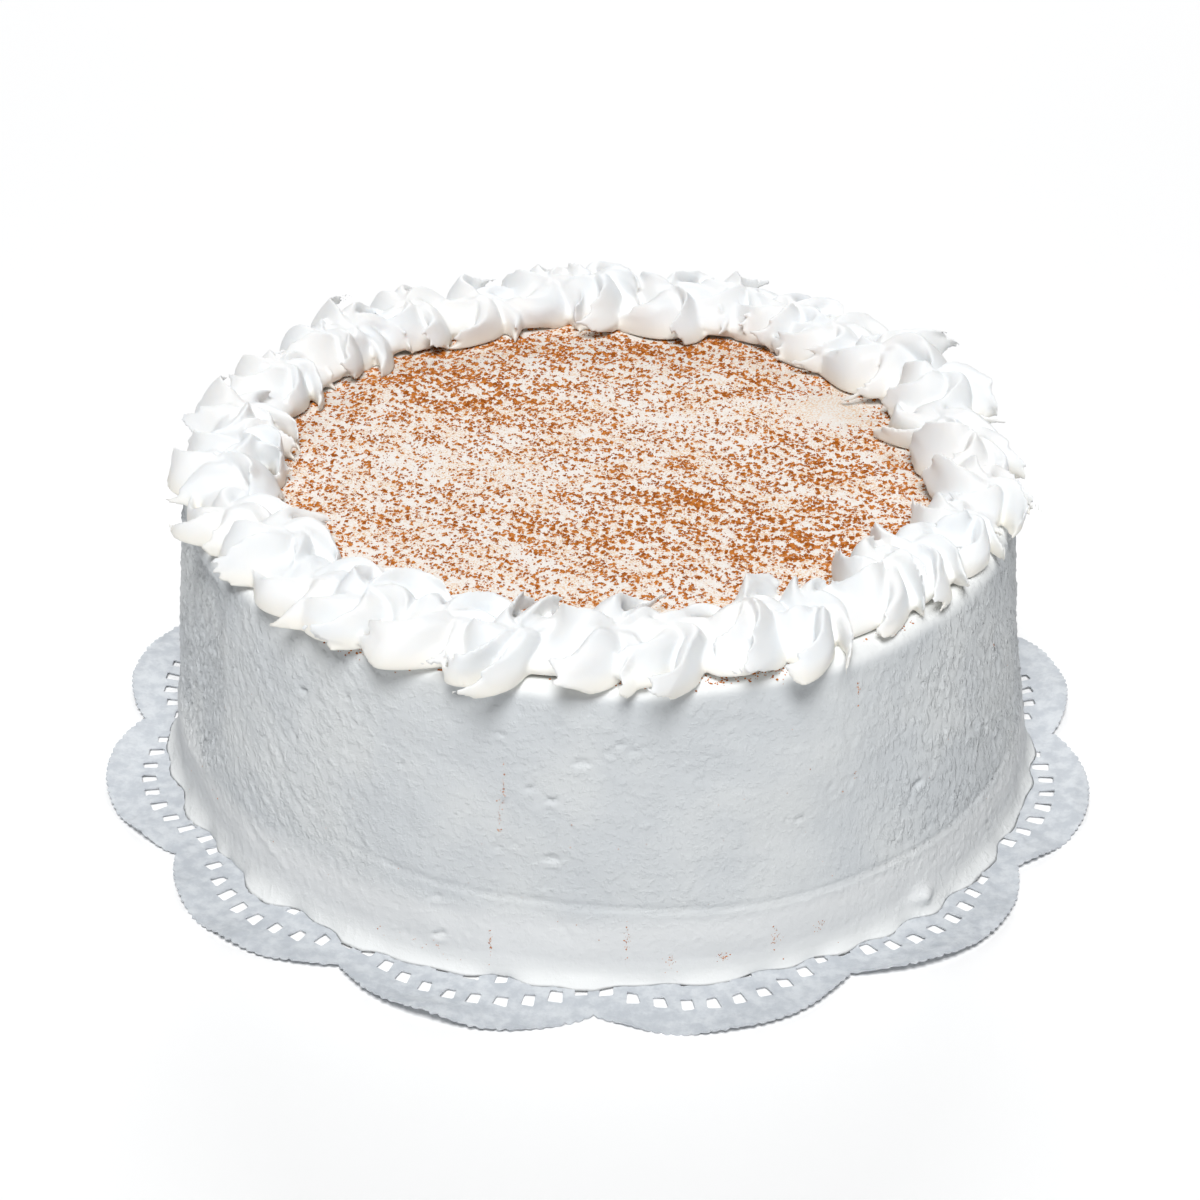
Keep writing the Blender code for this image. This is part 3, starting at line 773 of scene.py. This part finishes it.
def build_cake(material):
    side_end = TOP_WAY - (CAKE_TOP_RADIUS - TOP_SWITCH - RIM_ROUND)
    rows = np.concatenate([
        FOOT_ROWS,
        np.arange(SIDE_FROM, side_end, SIDE_STEP),
        np.arange(side_end, TOP_WAY - 0.5 * SHELF_STEP, SHELF_STEP),
        [TOP_WAY],
    ])
    turn = np.linspace(-math.pi, math.pi, CAKE_COLUMNS, endpoint=False)
    angle = (turn - FRONT_SHARE * np.cos(turn) - FRONT_SHARE)[None, :]
    radius, height = cake_surface(angle + 0 * rows[:, None], rows[:, None] + 0 * angle)
    radius[-1] = TOP_SWITCH
    x, y = radius * np.cos(angle), radius * np.sin(angle)
    height[-1] = top_height(x[-1], y[-1])
    points = [np.stack([x, y, height], axis=-1).reshape(-1, 3)]
    side = np.arange(len(rows) * CAKE_COLUMNS).reshape(len(rows), CAKE_COLUMNS)
    faces = strips(side)

    few = CAKE_COLUMNS // TOP_COLUMNS_SHARE
    inner = np.arange(TOP_SWITCH - TOP_STEP, TOP_STEP, -TOP_STEP)[:, None]
    turn = angle[:, ::TOP_COLUMNS_SHARE]
    x, y = inner * np.cos(turn), inner * np.sin(turn)
    points.append(np.stack([x, y, top_height(x, y)], axis=-1).reshape(-1, 3))
    top = side.size + np.arange(len(inner) * few).reshape(len(inner), few)
    faces += strips(top)
    last = side[-1].tolist()
    for k in range(few):
        outer = [last[(k * TOP_COLUMNS_SHARE + j) % CAKE_COLUMNS] for j in range(TOP_COLUMNS_SHARE + 1)]
        faces.append(outer + [int(top[0, (k + 1) % few]), int(top[0, k])])

    count = side.size + top.size
    middle = float(top_height(np.zeros(1), np.zeros(1))[0])
    points.append(np.array([[0, 0, middle], [0, 0, FOOT_BASE]]))
    faces += fans(top[-1], count)
    faces += [[b, a, hub] for a, b, hub in fans(side[0], count + 1)]
    points = np.concatenate(points) + (*CAKE_CENTRE, 0)
    return new_mesh("iced_side_and_top", points, faces, material)


# Cinnamon

def grains(spots, sizes, seed, sides, axes=None):
    """Small uneven grains on those spots, each a low cone, standing along the last of its axes."""
    dice = np.random.default_rng(seed)
    count = len(spots)
    turn = dice.uniform(0, 2 * math.pi, (count, 1)) + 2 * math.pi * np.arange(sides)[None, :] / sides
    turn = turn + dice.uniform(-0.35, 0.35, (count, sides))
    reach = 0.5 * sizes[:, None] * dice.uniform(0.55, 1.35, (count, sides))
    lift = sizes[:, None] * dice.uniform(-0.15, 0.10, (count, sides))
    rim = np.stack([reach * np.cos(turn), reach * np.sin(turn), lift], axis=-1)
    top = np.stack([0 * sizes, 0 * sizes, sizes * dice.uniform(0.25, 0.45, count)], axis=-1)[:, None]
    points = np.concatenate([rim, top], axis=1)
    if axes is not None:
        points = points @ axes
    points = (points + spots[:, None]).reshape(-1, 3)
    base = (sides + 1) * np.arange(count)[:, None]
    k = np.arange(sides)[None, :]
    upper = np.stack([base + k, base + (k + 1) % sides, base + sides + 0 * k], axis=-1).reshape(-1, 3)
    return points, upper.tolist() + (base + k)[:, ::-1].tolist()


def sprinkle(count, seed):
    """Spots on the top where cinnamon fell: thicker in the patches, and clumped."""
    dice = np.random.default_rng(seed)
    spots = np.zeros((0, 2))
    while len(spots) < count:
        trial = dice.uniform(-SPICE_SQUARE, SPICE_SQUARE, (SPICE_TRIALS, 2))
        weight = np.full(len(trial), SPICE_EVERYWHERE)
        for x, y, wide, deep, amount in PATCHES:
            weight += amount * np.exp(-((trial[:, 0] - x) / wide) ** 2 - ((trial[:, 1] - y) / deep) ** 2)
        clumps = 0.5 + 0.55 * ripples(trial, 0.0035, 41, 40) + 0.3 * ripples(trial, 0.012, 42)
        weight *= np.clip(clumps, 0.03, 3)
        weight *= np.clip(0.6 + 0.7 * ripples(trial, 0.0016, 43, 50), 0.05, 3)
        keep = dice.uniform(0, SPICE_THICKEST, len(trial)) < weight
        keep &= np.hypot(*(trial - BORDER_OFFSET).T) < SPICE_RADIUS
        spots = np.concatenate([spots, trial[keep]])
    return spots[:count]


def grain_mesh(name, points, faces, material):
    thing = new_mesh(name, points, faces, material)
    thing.data.shade_flat()
    return thing


def build_cinnamon(name, count, smallest, largest, seed, sides, material):
    dice = np.random.default_rng(seed)
    fallen = sprinkle(count, seed + 1)
    sizes = smallest + (largest - smallest) * dice.beta(*GRAIN_SPREAD, count)
    x, y = fallen.T
    spots = np.stack([x + CAKE_CENTRE[0], y + CAKE_CENTRE[1], top_height(x, y)], axis=-1)
    return grain_mesh(name, *grains(spots, sizes, seed + 2, sides), material)


def build_marks(material):
    """The cinnamon that fell on the rim outside the border, and the few smears and specks on the side."""
    dice = np.random.default_rng(MARK_SEED)
    spots, axes, sizes = [], [], []
    side = KNOTS[:, 1].searchsorted(CAKE_TOP - RIM_ROUND) + 1
    for turn, radius, spread, count in SHELF_GRAINS:
        angle = np.radians(turn + spread * dice.normal(size=count))
        reach = 0.001 * (radius + 0.8 * dice.normal(size=count))
        radius, height = cake_surface(angle, np.interp(reach, KNOTS[side:, 0][::-1], WAY[side:][::-1]))
        spots.append(np.stack([radius * np.cos(angle), radius * np.sin(angle), height], axis=-1))
        axes.append(np.tile(np.eye(3), (count, 1, 1)))
        sizes.append(SHELF_SIZES[0] + SHELF_SIZES[1] * dice.beta(*GRAIN_SPREAD, count))
    for turn, level, spread, tall, count in SIDE_GRAINS:
        angle = np.radians(turn + spread * dice.normal(size=count))
        level = level + tall * dice.normal(size=count)
        level = 0.001 * np.clip(level, SIDE_GRAINS_LOW, SIDE_GRAINS_HIGH)
        radius, height = cake_surface(angle, np.interp(level, KNOTS[:side, 1], WAY[:side]))
        out = np.stack([np.cos(angle), np.sin(angle), 0 * angle], axis=-1)
        round_way = np.stack([-np.sin(angle), np.cos(angle), 0 * angle], axis=-1)
        up = np.tile([0.0, 0.0, 1.0], (count, 1))
        spots.append(out * radius[:, None] + up * height[:, None])
        axes.append(np.stack([round_way, up, out], axis=1))
        sizes.append(SIDE_SIZES[0] + SIDE_SIZES[1] * dice.beta(*GRAIN_SPREAD, count))
    spots = np.concatenate(spots) + (*CAKE_CENTRE, 0)
    marks = grains(spots, np.concatenate(sizes), MARK_SEED + 1, MARK_SIDES, np.concatenate(axes))
    return grain_mesh("cinnamon_marks", *marks, material)


# Doily

def scallop_edge(angle):
    half = math.pi / SCALLOPS
    notch_x = SCALLOP_NOTCH_RADIUS * math.cos(half)
    notch_y = SCALLOP_NOTCH_RADIUS * math.sin(half)
    rise = SCALLOP_TIP_RADIUS - notch_x
    arc = (notch_y ** 2 + rise ** 2) / (2 * rise)
    centre = SCALLOP_TIP_RADIUS - arc
    local = angle % (2 * half) - half
    return centre * np.cos(local) + np.sqrt(arc ** 2 - (centre * np.sin(local)) ** 2)


def opening_outline(dice, angle, inset, width, length):
    """An opening's outline: four uneven corners, slightly rounded."""
    middle = scallop_edge(angle) - inset
    corners = []
    for out, side in ((-1, -1), (-1, 1), (1, 1), (1, -1)):
        radius = middle + out * length / 2 * dice.uniform(0.75, 1.1)
        half_width = width * (1 + out * OPENING_FLARE / 2) / 2 * dice.uniform(0.75, 1.1)
        turn = angle + side * half_width / radius
        corners.append(np.array([radius * math.cos(turn), radius * math.sin(turn)]))
    outline = []
    for k in range(4):
        before, here, after = corners[k - 1], corners[k], corners[(k + 1) % 4]
        for share in (0.28, 0.12):
            outline.append(here + share * (before - here) * 0.8)
        for share in (0.12, 0.28):
            outline.append(here + share * (after - here) * 0.8)
    return np.array(outline)


def inside(points, outline):
    hit = np.zeros(len(points), bool)
    for a, b in zip(outline, np.roll(outline, -1, axis=0)):
        crosses = (a[1] > points[:, 1]) != (b[1] > points[:, 1])
        with np.errstate(divide="ignore", invalid="ignore"):
            x = a[0] + (points[:, 1] - a[1]) * (b[0] - a[0]) / (b[1] - a[1])
        hit ^= crosses & (points[:, 0] < x)
    return hit


def outside_openings(points, openings, clear=1.0):
    """Which of the points lie in no opening, each opening made that many times larger first."""
    keep = np.ones(len(points), bool)
    for opening in openings:
        middle = opening.mean(axis=0)
        near = np.hypot(*(points - middle).T) < OPENING_REACH
        keep[near] &= ~inside(points[near], middle + (opening - middle) * clear)
    return keep


def paper_points(dice):
    """The paper's own points: scattered closely where it shows, and far apart under the cake."""
    fill = []
    radius = LACE_FROM
    while radius < SCALLOP_TIP_RADIUS:
        around = int(2 * math.pi * radius / LACE_CELL)
        angle = 2 * math.pi * (np.arange(around) + dice.uniform()) / around + dice.normal(0, 0.001, around)
        reach = radius + dice.normal(0, 0.0001, around)
        keep = reach < scallop_edge(angle) - PICOT_DEPTH - 0.0006
        fill.append(np.stack([reach * np.cos(angle), reach * np.sin(angle)], axis=-1)[keep])
        radius += LACE_CELL * 0.87
    for radius in np.arange(PLAIN_CELL, LACE_FROM - 0.004, PLAIN_CELL):
        around = int(2 * math.pi * radius / PLAIN_CELL)
        angle = 2 * math.pi * np.arange(around) / around
        fill.append(np.stack([radius * np.cos(angle), radius * np.sin(angle)], axis=-1))
    return np.concatenate(fill)


def paper_plan(dice):
    """The doily seen from above: its points, and the triangles between them and outside the openings."""
    steps = SCALLOPS * PICOTS * PICOT_STEPS
    turn = 2 * math.pi * np.arange(steps) / steps
    picot = PICOT_DEPTH * (np.abs(np.sin(0.5 * SCALLOPS * PICOTS * turn)) - 1.0)
    edge = scallop_edge(turn) + picot - 0.0002 * dice.uniform(0, 1, steps)
    loops = [np.stack([edge * np.cos(turn), edge * np.sin(turn)], axis=-1)]
    pitch = 2 * math.pi / SCALLOPS
    for inset, count, share, width, length in LACE_ROWS:
        for scallop in range(SCALLOPS):
            for k in range(count):
                angle = pitch * (scallop + 0.5 + share * ((k + 0.5) / count - 0.5))
                loops.append(opening_outline(dice, angle, inset, width, length))
    openings = loops[1:]
    fill = paper_points(dice)
    fill = fill[outside_openings(fill, openings, OPENING_CLEAR)]
    edges = []
    base = 0
    for loop in loops:
        index = base + np.arange(len(loop))
        edges += np.stack([index, np.roll(index, -1)], axis=-1).tolist()
        base += len(loop)
    flat = [Vector(point) for point in np.concatenate(loops + [fill]).tolist()]
    verts, _, faces, _, _, _ = geometry.delaunay_2d_cdt(flat, edges, [], 1, 1e-7)
    plane = np.array([tuple(vert) for vert in verts])
    faces = np.array(faces)
    return plane, faces[outside_openings(plane[faces].mean(axis=1), openings)]


def build_doily(material):
    plane, faces = paper_plan(np.random.default_rng(LACE_SEED))
    radius = np.hypot(*plane.T)
    angle = np.arctan2(plane[:, 1], plane[:, 0])
    free = np.clip((radius - LIFT_FROM) / LIFT_OVER, 0, 1)
    waves = 0.0009 * np.sin(SCALLOPS * angle * 0.5 + 1.0)
    lift = free ** 1.5 * (0.0011 + waves + 0.0006 * ripples(plane, 0.03, 51))
    shown = np.clip((radius - 0.104) / 0.004, 0, 1)
    emboss = shown * (0.00010 * ripples(plane, 0.0028, 52, 40) + 0.00008 * np.sin(250 * angle) * free)
    upper = np.maximum(DOILY_THICKNESS - 0.00005 + lift + emboss, PAPER_THICKNESS)
    lower = np.where(radius < PRESSED_RADIUS, 0.0, np.maximum(upper - PAPER_THICKNESS, 0.0))
    count = len(plane)
    points = np.concatenate([np.column_stack([plane, upper]), np.column_stack([plane, lower])])
    area = np.cross(plane[faces[:, 1]] - plane[faces[:, 0]], plane[faces[:, 2]] - plane[faces[:, 0]])
    faces[area < 0] = faces[area < 0][:, ::-1]
    sides = {}
    for a, b, c in faces.tolist():
        for pair in ((a, b), (b, c), (c, a)):
            sides[pair] = True
    walls = [[b, a, a + count, b + count] for a, b in sides if (b, a) not in sides]
    every = faces.tolist() + (faces[:, ::-1] + count).tolist() + walls
    doily = new_mesh("paper_doily", points, every, material)
    doily.data.set_sharp_from_angle(angle=math.radians(50))
    return doily


# Studio

def build_world():
    world = bpy.data.worlds.new("studio")
    world.use_nodes = True
    bpy.context.scene.world = world
    background = world.node_tree.nodes["Background"]
    background.inputs["Color"].default_value = SKY_COLOUR
    background.inputs["Strength"].default_value = SKY_STRENGTH


def add_light(name, place, size, power):
    lamp = bpy.data.lights.new(name, "AREA")
    lamp.shape = "DISK"
    lamp.size = size
    lamp.energy = power
    thing = bpy.data.objects.new(name, lamp)
    bpy.context.scene.collection.objects.link(thing)
    thing.location = place
    toward = Vector(LAMP_TARGET) - Vector(place)
    thing.rotation_euler = toward.to_track_quat("-Z", "Y").to_euler()


def build_camera():
    """Looks down at the cake from the front, as the photograph does."""
    back = Vector((0, -math.cos(CAMERA_ELEVATION), math.sin(CAMERA_ELEVATION)))
    target = Vector((CAKE_CENTRE[0], CAKE_CENTRE[1], CAMERA_TARGET_HEIGHT))
    data = bpy.data.cameras.new("camera")
    thing = bpy.data.objects.new("camera", data)
    bpy.context.scene.collection.objects.link(thing)
    facing = (-back).to_track_quat("-Z", "Y").to_matrix().to_4x4()
    spot = Matrix.Translation(target + back * CAMERA_DISTANCE)
    thing.matrix_world = spot @ facing @ Matrix.Rotation(CAMERA_ROLL, 4, "Z")
    data.sensor_width = SENSOR_WIDTH
    data.lens = LENS
    data.shift_x, data.shift_y = LENS_SHIFT
    data.clip_start, data.clip_end = CLIP_NEAR, CLIP_FAR
    bpy.context.scene.camera = thing


def build_floor():
    half = FLOOR_HALF
    corners = [(-half, -half, 0), (half, -half, 0), (half, half, 0), (-half, half, 0)]
    floor = new_mesh("floor", corners, [[0, 1, 2, 3]], floor_material())


def hand_over(piece, slot, *nodes):
    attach(piece, "root")
    if nodes:
        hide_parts(*nodes)


icing, cream, paper, spice = side_material(), cream_material(), paper_material(), cinnamon_material()
for node, material in (("iced_cake", icing), ("piped_border", cream), ("lace_doily", paper)):
    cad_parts[node].data.materials.clear()
    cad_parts[node].data.materials.append(material)

hand_over(build_cake(icing), "side_icing", "iced_cake")
hand_over(build_border(cream), "piped_cream", "piped_border")
hand_over(build_doily(paper), "doily_paper", "lace_doily")
for row in CINNAMON:
    hand_over(build_cinnamon(*row, spice), "cinnamon")
hand_over(build_marks(spice), "cinnamon")

build_floor()
build_world()
for lamp_row in LAMPS:
    add_light(*lamp_row)
build_camera()
bpy.context.scene.view_settings.view_transform = "Standard"
